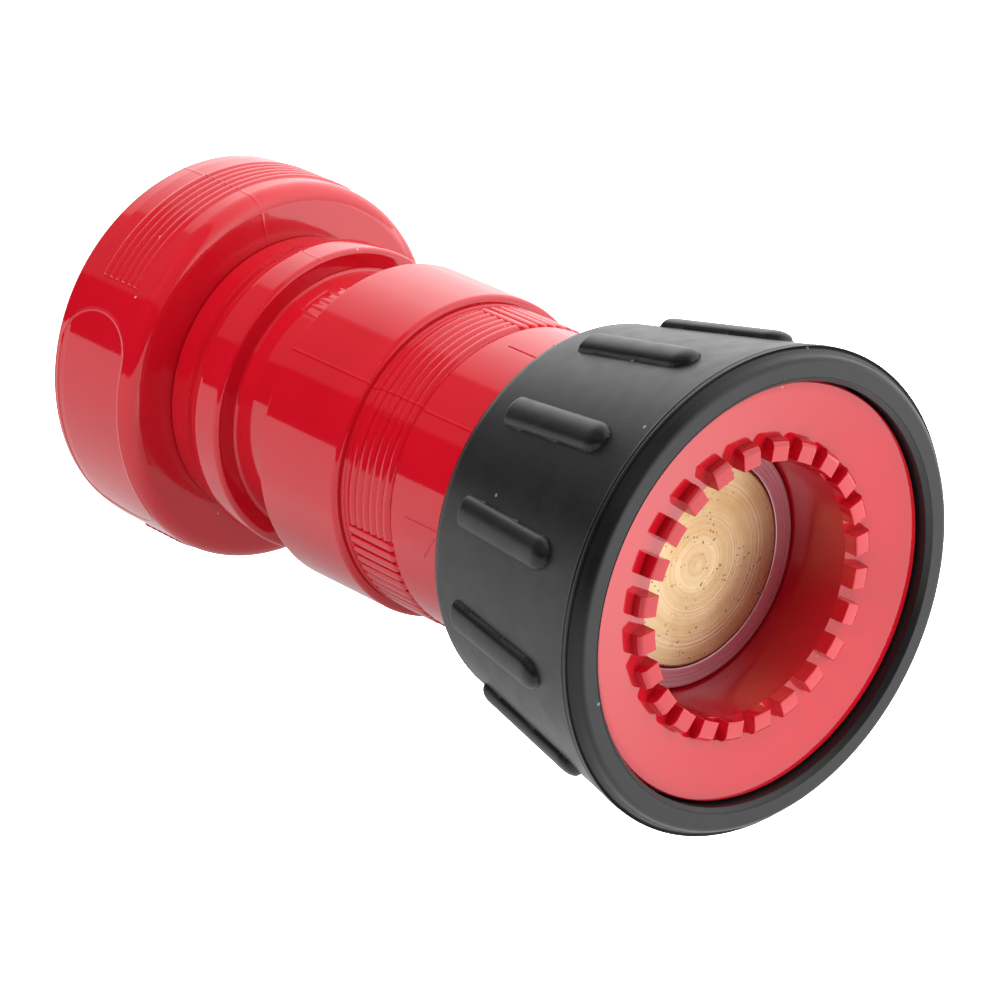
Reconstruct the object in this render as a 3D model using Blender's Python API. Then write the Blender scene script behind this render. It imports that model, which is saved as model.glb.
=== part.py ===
"""Fire hose nozzle with a swivel hose coupling and a screw barrel.

Units are metres. The flow axis lies along Y: the hose end is at +Y, the outlet at -Y, +Z is up.
Every piece is turned about the local Z axis of the empty "flow_axis". Local z is the distance from
the hose end towards the outlet, and local y is up. The nozzle is shown shut off, barrel fully forward.
"""
import math

import bmesh
import bpy
from mathutils import Matrix, Vector

MM = 0.001

# Overall
LENGTH = 140.4 * MM             # hose end to the front of the rubber lip
LIP_R = 39.55 * MM              # largest radius, on the rubber lip
GAP = 0.3 * MM                  # clearance between pieces that touch
ROUND = 48                      # sides of a large turned piece
STEM_SIDES = 40                 # sides of the stem and of the O-rings
SMALL_ROUND = 24                # sides of a small turned piece

# Hose coupling, threaded 1 1/2 inch inside
COUPLING_R = 33.0 * MM
COUPLING_FRONT = 22.0 * MM      # its flat front face
SHOULDER_R = 2.4 * MM           # radius of the rounding in front of the grip ridges
COUPLING_RIM = ((0.0, 32.2), (0.8, 32.8), (3.5, 33.0))
THREAD_MOUTH = (1.4 * MM, 26.0 * MM)
THREAD_R = 24.6 * MM            # mean radius of the female hose thread
THREAD_END = 13.2 * MM          # depth of the thread from the hose end
GASKET_POCKET_R = 26.2 * MM
POCKET_END = 16.9 * MM          # bottom of the gasket pocket and end of the body's tail
RING_POCKET_R = 24.0 * MM
RING_POCKET_END = 19.3 * MM     # the face that the snap ring holds
COUPLING_NECK_R = 21.6 * MM     # hole that the body's tail turns in

# Body
BORE_R = 17.8 * MM              # waterway
TAIL_R = 21.2 * MM
SNAP_GROOVE = (17.8 * MM, 19.2 * MM)
SNAP_GROOVE_R = 20.2 * MM
COLLAR_REAR_R = 24.4 * MM
COLLAR_SWELL = ((27.0, 24.7), (29.5, 25.7))
COLLAR_CREST_R = 26.3 * MM
COLLAR_CREST = 31.5 * MM        # where the collar has swelled to its crest
COLLAR_FRONT = 36.7 * MM        # front face of the body's collar
COLLAR_ROUND = 1.0 * MM
COLLAR_FILLET = 0.6 * MM
BODY_R = 22.4 * MM
SEAL_LAND = 74.7 * MM           # start of the smooth land that the barrel's O-ring slides on
SEAL_LAND_R = 21.4 * MM
BODY_END = 93.7 * MM
HUB = (64.7 * MM, 82.7 * MM)    # hub that holds the stem, on three vanes
HUB_R = 7.5 * MM
VANE_THICKNESS = 2.6 * MM

# Brass stem with the baffle disc
STEM_R = 4.0 * MM
STEM_REAR = 55.2 * MM
STEM_COLLAR_R = 6.5 * MM        # collar that rests on the hub
STEM_NECK_R = 4.6 * MM
STEM_CONE = 108.7 * MM          # where the stem starts to spread towards the plug
BAFFLE_R = 16.75 * MM
BAFFLE_FACE = 124.1 * MM
BAFFLE_BACK = 122.0 * MM
SPIGOT_R = 13.2 * MM            # plug behind the disc that carries the shut-off O-ring
SPIGOT_REAR = 116.5 * MM
SPIGOT_GROOVE = (118.7 * MM, 120.7 * MM)
SPIGOT_GROOVE_R = 11.6 * MM
WASHER = (1.2 * MM, 7.4 * MM)   # thickness and radius
NUT = (5.5 * MM, 7.4 * MM)      # thickness and radius over its corners

# Barrel
BARREL_REAR = 49.5 * MM
BARREL_R = 27.4 * MM
BARREL_STEP = 68.9 * MM         # where the wide rear sleeve steps down
GRIP_BAND = (69.8 * MM, 81.2 * MM)
GRIP_BAND_R = 26.1 * MM
BARREL_FRONT_R = 25.7 * MM
BARREL_BORE_R = 22.9 * MM
SEAL_BORE = 87.7 * MM           # where the barrel's bore narrows onto the seal land
SEAL_BORE_R = 21.8 * MM
SEAL_GROOVE = (89.1 * MM, 91.7 * MM)
SEAL_GROOVE_R = 23.9 * MM
THROAT_CONE = (106.2 * MM, 115.2 * MM)
THROAT_R = 14.2 * MM
SEAT_POCKET = 117.7 * MM        # bottom of the outlet cup, where the seat ring lies
CUP_FLOOR_R = 20.7 * MM
CUP_MOUTH_R = 21.0 * MM
CUP_MOUTH = 135.3 * MM          # inner edge of the flange's dished front face
FLANGE_FRONT = 138.1 * MM
FLANGE_R = 33.8 * MM
FLANGE_THICKNESS = 3.6 * MM
TOOTH_TIP = 137.9 * MM
TOOTH_R = 24.5 * MM
TOOTH_ROUND = 1.3 * MM          # rounding of a tooth's outer edge
TEETH = 24
TOOTH_WIDTH = 3.4 * MM          # the teeth have parallel sides
TOOTH_TURN = math.radians(-3.2)

# Seat ring
SEAT_FACE = 123.9 * MM
SEAT_LEDGE = 121.7 * MM         # the ledge that the baffle disc closes on
SEAT_R = 13.6 * MM

# Rubber bumper
BUMPER_REAR = 96.8 * MM
BUMPER_ROUND = 3.4 * MM         # rounding of its rear edge
BUMPER_ROUND_R = 28.3 * MM      # radius at which that rounding starts
BUMPER_CONE = ((99.5 * MM, 31.6 * MM), (136.9 * MM, 39.2 * MM))
BUMPER_WALL = 3.4 * MM
BUMPER_SLEEVE_END = 104.7 * MM
LIP = ((138.2, 39.55), (138.8, 39.25), (139.6, 38.5), (140.15, 37.9), (140.4, 37.4))
LIP_FACE_R = 35.0 * MM          # inner edge of the flat front ring
LIP_INNER_R = 34.2 * MM
LIP_CHAMFER = 0.7 * MM
LEDGE = (2.7 * MM, 2.0 * MM)    # width and thickness of the rib that hooks behind the flange
RIBS = 12
RIB_TURN = math.radians(9.5)
RIB_R = 2.6 * MM
RIB_HEIGHT = 1.4 * MM
RIB_ENDS = (104.7 * MM, 129.5 * MM)

for old in list(bpy.data.objects):
    bpy.data.objects.remove(old, do_unlink=True)


def material(name, colour, roughness, metallic=0.0):
    made = bpy.data.materials.new(name)
    made.use_nodes = True
    shader = made.node_tree.nodes["Principled BSDF"]
    shader.inputs["Base Color"].default_value = (*colour, 1.0)
    shader.inputs["Roughness"].default_value = roughness
    shader.inputs["Metallic"].default_value = metallic
    return made


def add_object(name, bm, parent, made=None):
    """Turn a bmesh into a named object under the flow axis, shaded smooth between its edges."""
    bmesh.ops.remove_doubles(bm, verts=bm.verts, dist=1e-6)
    bmesh.ops.recalc_face_normals(bm, faces=bm.faces)
    mesh = bpy.data.meshes.new(name)
    bm.to_mesh(mesh)
    bm.free()
    mesh.shade_smooth()
    mesh.set_sharp_from_angle(angle=math.radians(30))
    if made:
        mesh.materials.append(made)
    obj = bpy.data.objects.new(name, mesh)
    bpy.context.scene.collection.objects.link(obj)
    obj.parent = parent
    return obj


def arc(z, r, radius, start, end, steps):
    """Points on an arc about (z, r); an angle of 0 points forward and 90 outward."""
    points = []
    for i in range(steps + 1):
        angle = math.radians(start + (end - start) * i / steps)
        points.append((z + radius * math.cos(angle), r + radius * math.sin(angle)))
    return points


def turned(profile, sides=ROUND, sweep=360.0):
    """Spin a closed outline of (z, r) points about local Z. Flats face up, down and sideways."""
    bm = bmesh.new()
    phase = math.pi / sides
    verts = []
    for z, r in profile:
        verts.append(bm.verts.new((r * math.cos(phase), r * math.sin(phase), z)))
    start = bm.faces.new(verts)
    if sweep < 360.0:
        geometry = [start, *start.edges, *start.verts]
        steps = round(sides * sweep / 360.0)
    else:
        geometry = list(start.edges) + list(start.verts)
        bmesh.ops.delete(bm, geom=[start], context="FACES_ONLY")
        steps = sides
    bmesh.ops.spin(bm, geom=geometry, cent=(0, 0, 0), axis=(0, 0, 1), dvec=(0, 0, 0),
                   angle=math.radians(sweep), steps=steps, use_merge=sweep == 360.0)
    return bm


def rod(z0, z1, radius, sides=SMALL_ROUND):
    """A solid round bar along local Z."""
    bm = bmesh.new()
    bmesh.ops.create_cone(bm, cap_ends=True, segments=sides, radius1=radius, radius2=radius,
                          depth=z1 - z0, matrix=Matrix.Translation((0, 0, (z0 + z1) / 2)))
    return bm


def blocks(count, low, high, turn=0.0):
    """Boxes from corner low to corner high, x pointing outward, repeated round local Z."""
    bm = bmesh.new()
    size = Vector(high) - Vector(low)
    centre = (Vector(high) + Vector(low)) / 2
    for i in range(count):
        spin = Matrix.Rotation(2 * math.pi * i / count + turn, 4, "Z")
        place = spin @ Matrix.Translation(centre) @ Matrix.Diagonal((*size, 1))
        bmesh.ops.create_cube(bm, size=1, matrix=place)
    return bm


def dish(r):
    """Where the dished front face of the barrel's flange lies at radius r."""
    slope = (FLANGE_FRONT - CUP_MOUTH) / (FLANGE_R - CUP_MOUTH_R)
    return CUP_MOUTH + slope * (r - CUP_MOUTH_R)


def tooth_gaps():
    """Wedges between parallel-sided teeth, down to the dished face, repeated round local Z."""
    bm = bmesh.new()
    half = math.pi / TEETH
    corners = []
    for reach in (CUP_MOUTH_R - 2 * MM, TOOTH_R + 0.2 * MM):
        x = reach * math.cos(half) + TOOTH_WIDTH / 2 * math.sin(half)
        y = reach * math.sin(half) - TOOTH_WIDTH / 2 * math.cos(half)
        corners.append((x, y))
    (x0, y0), (x1, y1) = corners
    outline = ((x0, -y0), (x1, -y1), (x1, y1), (x0, y0))
    for i in range(TEETH):
        spin = Matrix.Rotation(2 * math.pi * i / TEETH + TOOTH_TURN, 4, "Z")
        low = [bm.verts.new(spin @ Vector((x, y, dish(x) + 0.05 * MM))) for x, y in outline]
        high = [bm.verts.new(spin @ Vector((x, y, TOOTH_TIP + 2 * MM))) for x, y in outline]
        bm.faces.new(low[::-1])
        bm.faces.new(high)
        for k in range(4):
            bm.faces.new((low[k - 1], low[k], high[k], high[k - 1]))
    return bm


def boolean(target, name, bm, operation):
    """Join or cut a solid with a tool that stays out of the build."""
    tool = add_object(name, bm, target.parent)
    tool.hide_render = True
    tool.display_type = "WIRE"
    step = target.modifiers.new(name, "BOOLEAN")
    step.operation = operation
    step.solver = "EXACT"
    step.object = tool


red = material("red_polycarbonate", (0.56, 0.012, 0.022), 0.16)
rubber = material("black_rubber", (0.022, 0.022, 0.024), 0.55)
seal = material("seal_rubber", (0.015, 0.015, 0.015), 0.45)
brass = material("turned_brass", (0.74, 0.53, 0.28), 0.3, 1.0)
steel = material("spring_steel", (0.55, 0.56, 0.58), 0.28, 1.0)
pale = material("seat_plastic", (0.78, 0.72, 0.72), 0.35)

flow_axis = bpy.data.objects.new("flow_axis", None)
bpy.context.scene.collection.objects.link(flow_axis)
flow_axis.location = (0, LENGTH / 2, LIP_R * math.cos(math.pi / ROUND))
flow_axis.rotation_euler = (math.radians(90), 0, 0)


def swivel_coupling():
    shoulder_z = COUPLING_FRONT - SHOULDER_R
    shoulder_r = COUPLING_R - SHOULDER_R
    profile = [(z * MM, r * MM) for z, r in COUPLING_RIM]
    profile += arc(shoulder_z, shoulder_r, SHOULDER_R, 90, 0, 5)
    profile += [(COUPLING_FRONT, COUPLING_NECK_R), (RING_POCKET_END, COUPLING_NECK_R)]
    profile += [(RING_POCKET_END, RING_POCKET_R), (POCKET_END, RING_POCKET_R)]
    profile += [(POCKET_END, GASKET_POCKET_R), (THREAD_END, GASKET_POCKET_R)]
    profile += [(THREAD_END, THREAD_R), (THREAD_MOUTH[0], THREAD_R), (0, THREAD_MOUTH[1])]
    add_object("swivel_coupling", turned(profile), flow_axis, red)


def hose_gasket():
    z0 = THREAD_END + GAP
    z1 = POCKET_END - GAP
    profile = [(z0, 18.2 * MM), (z0, 25.8 * MM), (z1, 25.8 * MM), (z1, 18.2 * MM)]
    add_object("hose_gasket", turned(profile), flow_axis, seal)


def coupling_snap_ring():
    z0 = SNAP_GROOVE[0] + 0.2 * MM
    z1 = SNAP_GROOVE[1] - 0.2 * MM
    inner = SNAP_GROOVE_R + 0.2 * MM
    outer = RING_POCKET_R - 0.6 * MM
    profile = [(z0, inner), (z0, outer), (z1, outer), (z1, inner)]
    add_object("coupling_snap_ring", turned(profile, sweep=345.0), flow_axis, steel)


def nozzle_body():
    z0, z1 = SNAP_GROOVE
    profile = [(POCKET_END, BORE_R + 0.6 * MM), (POCKET_END, TAIL_R - GAP), (POCKET_END + GAP, TAIL_R)]
    profile += [(z0, TAIL_R), (z0, SNAP_GROOVE_R), (z1, SNAP_GROOVE_R), (z1, TAIL_R)]
    rear = COUPLING_FRONT + GAP
    profile += [(rear, TAIL_R), (rear, COLLAR_REAR_R - GAP), (rear + GAP, COLLAR_REAR_R)]
    profile += [(z * MM, r * MM) for z, r in COLLAR_SWELL] + [(COLLAR_CREST, COLLAR_CREST_R)]
    profile += arc(COLLAR_FRONT - COLLAR_ROUND, COLLAR_CREST_R - COLLAR_ROUND, COLLAR_ROUND, 90, 0, 3)
    profile += arc(COLLAR_FRONT + COLLAR_FILLET, BODY_R + COLLAR_FILLET, COLLAR_FILLET, 180, 270, 2)
    profile += [(SEAL_LAND - 1.5 * MM, BODY_R), (SEAL_LAND, SEAL_LAND_R)]
    profile += [(BODY_END - 0.8 * MM, SEAL_LAND_R), (BODY_END, SEAL_LAND_R - 0.8 * MM)]
    profile += [(BODY_END, BORE_R), (POCKET_END + 0.8 * MM, BORE_R)]
    body = add_object("nozzle_body", turned(profile), flow_axis, red)
    boolean(body, "hub_tool", rod(HUB[0], HUB[1], HUB_R), "UNION")
    low = (HUB_R - 1.5 * MM, -VANE_THICKNESS / 2, HUB[0] + 2 * MM)
    high = (BORE_R + 1.5 * MM, VANE_THICKNESS / 2, HUB[1] - 2 * MM)
    boolean(body, "vane_tool", blocks(3, low, high, math.radians(90)), "UNION")
    boolean(body, "stem_hole_tool", rod(HUB[0] - 5 * MM, HUB[1] + 5 * MM, STEM_R + GAP), "DIFFERENCE")


def baffle_stem():
    collar = HUB[1] + GAP
    z0, z1 = SPIGOT_GROOVE
    profile = [(STEM_REAR, 0), (STEM_REAR, STEM_R - 0.6 * MM), (STEM_REAR + 0.6 * MM, STEM_R)]
    profile += [(collar, STEM_R), (collar, STEM_COLLAR_R), (collar + 2.5 * MM, STEM_COLLAR_R)]
    profile += [(collar + 4 * MM, STEM_NECK_R), (STEM_CONE, STEM_NECK_R)]
    profile += [(SPIGOT_REAR, SPIGOT_R - 1 * MM)]
    profile += [(SPIGOT_REAR + 1 * MM, SPIGOT_R), (z0, SPIGOT_R), (z0, SPIGOT_GROOVE_R)]
    profile += [(z1, SPIGOT_GROOVE_R), (z1, SPIGOT_R), (BAFFLE_BACK, SPIGOT_R)]
    profile += [(BAFFLE_BACK, BAFFLE_R), (BAFFLE_FACE - 0.3 * MM, BAFFLE_R)]
    profile += [(BAFFLE_FACE, BAFFLE_R - 0.3 * MM), (BAFFLE_FACE, 0)]
    add_object("baffle_stem", turned(profile, STEM_SIDES), flow_axis, brass)


def stem_fixings():
    washer_front = HUB[0] - GAP
    washer_rear = washer_front - WASHER[0]
    nut_front = washer_rear - GAP
    nut_rear = nut_front - NUT[0]
    hole = STEM_R + GAP
    profile = [(washer_rear, hole), (washer_rear, WASHER[1])]
    profile += [(washer_front, WASHER[1]), (washer_front, hole)]
    add_object("stem_washer", turned(profile, SMALL_ROUND), flow_axis, brass)
    nut = add_object("stem_nut", rod(nut_rear, nut_front, NUT[1], 6), flow_axis, brass)
    boolean(nut, "nut_hole_tool", rod(nut_rear - 1 * MM, nut_front + 1 * MM, hole), "DIFFERENCE")


def o_ring(name, z, inner, outer):
    """A rubber ring whose section has 6 sides."""
    profile = arc(z, (inner + outer) / 2, (outer - inner) / 2, 0, 300, 5)
    add_object(name, turned(profile, STEM_SIDES), flow_axis, seal)


def barrel():
    profile = [(BARREL_REAR, BARREL_BORE_R + 0.5 * MM), (BARREL_REAR, BARREL_R - 0.5 * MM)]
    profile += [(BARREL_REAR + 0.5 * MM, BARREL_R), (BARREL_STEP - 0.4 * MM, BARREL_R)]
    profile += [(BARREL_STEP, BARREL_R - 0.5 * MM), (BARREL_STEP, BARREL_FRONT_R)]
    profile += [(GRIP_BAND[0], BARREL_FRONT_R), (GRIP_BAND[0], GRIP_BAND_R)]
    profile += [(GRIP_BAND[1], GRIP_BAND_R), (GRIP_BAND[1], BARREL_FRONT_R)]
    profile += [(dish(BARREL_FRONT_R) - FLANGE_THICKNESS, BARREL_FRONT_R)]
    profile += [(dish(FLANGE_R) - FLANGE_THICKNESS, FLANGE_R)]
    profile += [(FLANGE_FRONT - 0.3 * MM, FLANGE_R), (FLANGE_FRONT, FLANGE_R - 0.4 * MM)]
    profile += [(dish(TOOTH_R), TOOTH_R)]
    profile += arc(TOOTH_TIP - TOOTH_ROUND, TOOTH_R - TOOTH_ROUND, TOOTH_ROUND, 90, 0, 2)
    profile += [(TOOTH_TIP, CUP_MOUTH_R), (SEAT_FACE, CUP_FLOOR_R), (SEAT_POCKET, CUP_FLOOR_R)]
    profile += [(SEAT_POCKET, THROAT_R), (THROAT_CONE[1], THROAT_R), (THROAT_CONE[0], SEAL_BORE_R)]
    profile += [(SEAL_GROOVE[1], SEAL_BORE_R), (SEAL_GROOVE[1], SEAL_GROOVE_R)]
    profile += [(SEAL_GROOVE[0], SEAL_GROOVE_R), (SEAL_GROOVE[0], SEAL_BORE_R)]
    profile += [(SEAL_BORE, SEAL_BORE_R), (SEAL_BORE - 1 * MM, BARREL_BORE_R)]
    profile += [(BARREL_REAR + 0.5 * MM, BARREL_BORE_R)]
    made = add_object("barrel", turned(profile), flow_axis, red)
    boolean(made, "tooth_gap_tool", tooth_gaps(), "DIFFERENCE")


def seat_ring():
    rear = SEAT_POCKET + GAP
    outer = CUP_FLOOR_R - GAP
    ledge = BAFFLE_R + GAP
    profile = [(rear, SEAT_R), (rear, outer), (SEAT_FACE, outer), (SEAT_FACE, ledge)]
    profile += [(SEAT_LEDGE, ledge), (SEAT_LEDGE, SEAT_R)]
    add_object("seat_ring", turned(profile), flow_axis, pale)


def rubber_bumper():
    (cone_z0, cone_r0), (cone_z1, cone_r1) = BUMPER_CONE
    slope = math.atan2(cone_r1 - cone_r0, cone_z1 - cone_z0)
    sleeve_r = BARREL_FRONT_R + GAP
    ledge_r = LIP_INNER_R - LEDGE[0]
    ledge = dish(ledge_r) - FLANGE_THICKNESS - GAP
    profile = [(BUMPER_REAR, sleeve_r)]
    tangent = 90 + math.degrees(slope)
    profile += arc(BUMPER_REAR + BUMPER_ROUND, BUMPER_ROUND_R, BUMPER_ROUND, 180, tangent, 4)
    profile += [(cone_z1, cone_r1), (cone_z1 + 0.3 * MM, cone_r1 + 0.2 * MM)]
    profile += [(z * MM, r * MM) for z, r in LIP]
    profile += [(LENGTH, LIP_FACE_R), (LENGTH - LIP_CHAMFER, LIP_INNER_R)]
    profile += [(dish(LIP_INNER_R) - FLANGE_THICKNESS - GAP, LIP_INNER_R), (ledge, ledge_r)]
    profile += [(ledge - LEDGE[1], ledge_r), (ledge - 2 * LEDGE[1], cone_r1 - BUMPER_WALL - 1.2 * MM)]
    profile += [(BUMPER_SLEEVE_END, cone_r0 - BUMPER_WALL), (BUMPER_SLEEVE_END, sleeve_r)]
    bumper = add_object("rubber_bumper", turned(profile), flow_axis, rubber)
    start, end = RIB_ENDS
    start_r = cone_r0 + (start - cone_z0) * math.tan(slope) + RIB_HEIGHT - RIB_R
    end_r = cone_r0 + (end - cone_z0) * math.tan(slope) - RIB_R - 0.2 * MM
    ribs = bmesh.new()
    run = Vector((end_r - start_r, 0, end - start))
    for i in range(RIBS):
        middle = Vector(((start_r + end_r) / 2, 0, (start + end) / 2))
        spin = Matrix.Rotation(2 * math.pi * i / RIBS + RIB_TURN, 4, "Z")
        place = spin @ Matrix.Translation(middle) @ run.to_track_quat("Z", "Y").to_matrix().to_4x4()
        bmesh.ops.create_cone(ribs, cap_ends=True, segments=12, radius1=RIB_R, radius2=RIB_R,
                              depth=run.length, matrix=place)
    boolean(bumper, "rib_tool", ribs, "UNION")


swivel_coupling()
hose_gasket()
coupling_snap_ring()
nozzle_body()
baffle_stem()
stem_fixings()
o_ring("shutoff_o_ring", sum(SPIGOT_GROOVE) / 2, SPIGOT_GROOVE_R + 0.1 * MM, SEAT_R - 0.15 * MM)
barrel()
seat_ring()
o_ring("barrel_o_ring", sum(SEAL_GROOVE) / 2, SEAL_LAND_R + 0.15 * MM, SEAL_GROOVE_R - 0.2 * MM)
rubber_bumper()
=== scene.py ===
import math

import bmesh
import bpy
import numpy as np
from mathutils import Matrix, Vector

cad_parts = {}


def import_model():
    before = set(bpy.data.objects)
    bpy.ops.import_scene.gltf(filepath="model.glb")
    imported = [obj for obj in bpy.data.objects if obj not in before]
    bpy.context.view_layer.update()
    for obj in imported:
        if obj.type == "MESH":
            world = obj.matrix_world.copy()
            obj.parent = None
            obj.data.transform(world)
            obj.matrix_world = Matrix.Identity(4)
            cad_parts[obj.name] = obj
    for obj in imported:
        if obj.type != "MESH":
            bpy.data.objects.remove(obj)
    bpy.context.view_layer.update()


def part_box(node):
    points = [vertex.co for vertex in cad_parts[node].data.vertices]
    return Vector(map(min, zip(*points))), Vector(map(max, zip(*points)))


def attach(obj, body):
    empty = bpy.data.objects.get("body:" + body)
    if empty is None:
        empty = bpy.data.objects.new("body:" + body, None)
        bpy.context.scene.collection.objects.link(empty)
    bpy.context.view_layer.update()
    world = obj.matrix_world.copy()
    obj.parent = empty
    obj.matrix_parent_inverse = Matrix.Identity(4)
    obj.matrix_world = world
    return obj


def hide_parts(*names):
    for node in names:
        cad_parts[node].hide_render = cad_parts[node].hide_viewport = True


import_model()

MM = 0.001

# The flow axis. Station z is the distance in mm from the hose end, and theta the angle in degrees from
# straight up towards +X. Sizes are in mm, and pairs are (station, radius) unless a comment says otherwise.
lip_low, lip_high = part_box("rubber_bumper")
AXIS_UP = (lip_low.z + lip_high.z) / 2
HOSE_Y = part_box("swivel_coupling")[1].y
LENGTH = (HOSE_Y - lip_low.y) / MM
LIP_R = (lip_high.x - lip_low.x) / 2 / MM

# Swivel coupling
COUPLING_R = 33.0
COUPLING_FRONT = 22.0
COUPLING_REAR = ((0, 31.9), (0.25, 32.4), (0.9, 32.8), (3.5, COUPLING_R))
SHOULDER = (18.5, 3.1)          # where the rounding in front of the ridges starts, and its radius
SHOULDER_END = 8                # the rounding's last angle, where the slightly coned front face begins
FLAT_R = 24.8                   # radius inside which the front face is flat
TAIL_HOLE_R = 21.6              # hole that the body's tail turns in
RING_ROOM = (19.3, 24.0)        # front end and radius of the room for the snap ring
GASKET_ROOM = (16.9, 26.2)      # front end and radius of the room for the gasket
THREAD_R = 24.6
THREAD_PITCH = 25.4 / 9
THREAD_DEPTH = 1.3
THREAD_END = 13.2
THREAD_START = 0.7
THREAD_FORM = (2.4, 1.2)        # steepness and offset of its flanks, which leave crests and roots flat
MOULD_LINE = -8.1               # parting line of coupling and body; a second one lies opposite
MOULD_SEAM = (0.06, 0.35)       # height of the coupling's parting line and its half width in degrees
RIDGES = (6, 7.2, 1.64)         # number, first centre and pitch of its grip ridges
RIDGE_SHAPE = (0.34, 0.62)      # height and half width of a grip ridge
RIDGE_ARC = 44.0                # degrees that they run to each side of a parting line
PANEL = (10.3, -98.1)           # station and angle of the oval panel's centre; a second one lies opposite
PANEL_HALF = (8.5, 20.9)        # half its height along the axis and half its length round the ring
PANEL_END = 7.1                 # length of its elliptic ends
PANEL_RELIEF = (0.10, 0.06)     # height of its rim and depth of its field

# Hose gasket: rear, front, inner and outer edge of its section, and the radius of its corners
GASKET = (13.5, 16.6, 18.2, 25.8)
GASKET_ROUND = 0.7
GASKET_BEADS = (3, 20.5, 1.5, 0.18, 0.3)    # number, first radius, pitch, height and half width

# Snap ring
SNAP_RING = (18.5, 21.9)
SNAP_WIRE = (0.5, 1.45)         # half its section along the axis and across it
SNAP_GAP = 8.0                  # degrees from straight up to each of its ends
SNAP_SIDES = (16, 344)          # points round its section and along it

# Body
BODY_REAR = 16.9
BODY_END = 93.7
BORE_R = 17.8
TAIL_R = 21.2
RING_GROOVE = (17.8, 19.2, 20.2)            # rear, front and radius of the snap ring's groove
COLLAR_R = (24.4, 26.3)         # radius of the collar's rear edge and of its crest
COLLAR_Z = (22.15, 31.5, 36.7)  # its rear, the end of its swell and its front
SWELL_START = (25.5, 24.5)
SWELL_STEPS = 12
COLLAR_ROUND = 0.9
COLLAR_FILLET = 0.7
NECK_R = 22.4
LAND = (74.7, 21.4)
PLATE = (42.3, -20.5)           # station and angle of the small mark on the neck
PLATE_HALF = (2.7, 3.0)         # half its length along the axis and half its width round the neck
PLATE_RIM = (0.12, 0.16)        # height and half width of its frame
PLATE_BARS = (0.10, 5.0, 1.6)   # height of its bars, and their pitch and half width in degrees
PLATE_MARGIN = 0.9
BODY_SEAM = (0.05, 0.4)
SCREW = (50.0, 72.0)            # stretch with the barrel's screw
SCREW_GROOVE = (0.35, 4.8, 0.22)            # depth and pitch of the groove, and its half width in pitches
HUB = (64.7, 82.7, 7.5)         # rear, front and radius
HUB_ROUND = 2
HUB_HOLE_R = 4.3
VANES = 3
VANE_HALF = (7.0, 1.3)          # half its length along the axis and half its thickness
VANE_POWERS = (0.6, 0.7)        # how full its outline is along the axis and across it; 1 is an ellipse
VANE_ROOTS = (1.0, 0.4)         # how deep it stands in the hub and in the tube
VANE_FLARE = 0.9
VANE_SIDES = (64, 12)

# Baffle stem, its nut and its washer
CENTRE_R = 0.02                 # radius that stands for the axis itself
STEM_REAR = 55.2
STEM_R = 4.0                    # in the hub
STEM_CHAMFER = 0.6
STEM_COLLAR = (6.5, 2.5)        # radius and thickness
SHAFT_R = 4.6                   # in front of the hub
PLUG_BACK = (117.5, 4.8, 8.4)   # centre and radius of the hollow curve behind the plug
PLUG_R = 13.2
PLUG_GROOVE = (118.7, 120.7, 11.6)          # rear, front and radius of its O-ring's groove
DISC_BACK = (122.0, 16.6)
DISC_FACE = 124.1
DISC_R = 16.75
DISC_ROUND = 0.35
FEED_MARKS = (0.0015, 0.55)     # height and pitch of the lathe marks on the disc
FEED_RING = (0.012, 3.1, 0.25)  # depth, radius and half width of the tool's mark near its middle
CENTRE_MARK = (0.04, 0.6)       # depth and half width of the mark in its middle
STEM_SCREW = (56.0, 64.0, 1.25, 0.35)       # rear, front, pitch and depth of the nut's thread
STACK_GAP = 0.3                 # gap between hub, washer, nut and the stem's collar
WASHER = (1.2, 7.4, 4.4)        # thickness, radius and hole
NUT = (5.5, 7.4, 4.5)           # height, radius over its corners and hole
NUT_FLAT = 6.4                  # distance from the axis to a flat
NUT_CHAMFER = (0.6, 6.2)        # height of the chamfer and its inner radius

# O-rings: station, inner and outer radius
PLUG_O_RING = (119.7, 11.7, 13.45)
BARREL_O_RING = (90.4, 21.55, 23.7)
FLASH = (0.03, 0.08)            # height and half width of the moulding line round an O-ring

# Barrel
BARREL_REAR = 49.5
BARREL_R = 27.4
BARREL_EDGE = 0.35
STEP = 68.9
STEP_ROUND = 1.0
BARREL_BORE = (22.9, 21.8, 23.4)            # radius over the screw, over the land and at the rear opening
BORE_STEP = (86.7, 87.7)
O_RING_GROOVE = (89.1, 91.7, 23.9)          # rear, front and radius
FUNNEL = ((106.2, 21.8), (115.2, 14.2))     # inside narrowing towards the seat
SEAT_STEP = 117.7               # station of the shoulder that the seat ring stands on
BAND = (69.7, 81.3)
BAND_ARC = 51.0                 # degrees that the band's rings run to each side of a parting line
BAND_RELIEF = (0.28, 0.62)      # depth of the band's ground and height of its ridges over it
BARREL_LINE = -47.3             # its parting line; a second one lies opposite
BARREL_SEAM = (0.09, 0.36)
SEAM_SHIFT = 0.7                # degrees that its parting line is off on the band
BAND_RIDGES = (6, 71.2, 1.68)   # number, first centre and pitch
STAVE_PITCH = 4.45
STAVE_GAPS = (2.1, 2.3)         # degrees from the rings' end to the first stave, on either side
STAVE_TIP = (1.35, 1.1)         # where a stave's round end starts before the band's, and its length
FRONT_R = 25.7
MARK_Z = (84.6, 97.0)           # stretch of the two straight engraved lines
MARK_ANGLES = (-85.0, -9.6)
MARK_DEPTH = 0.14
MARK_HALF = (0.2, 0.16)         # half width of the straight lines and of the slanted ones
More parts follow.
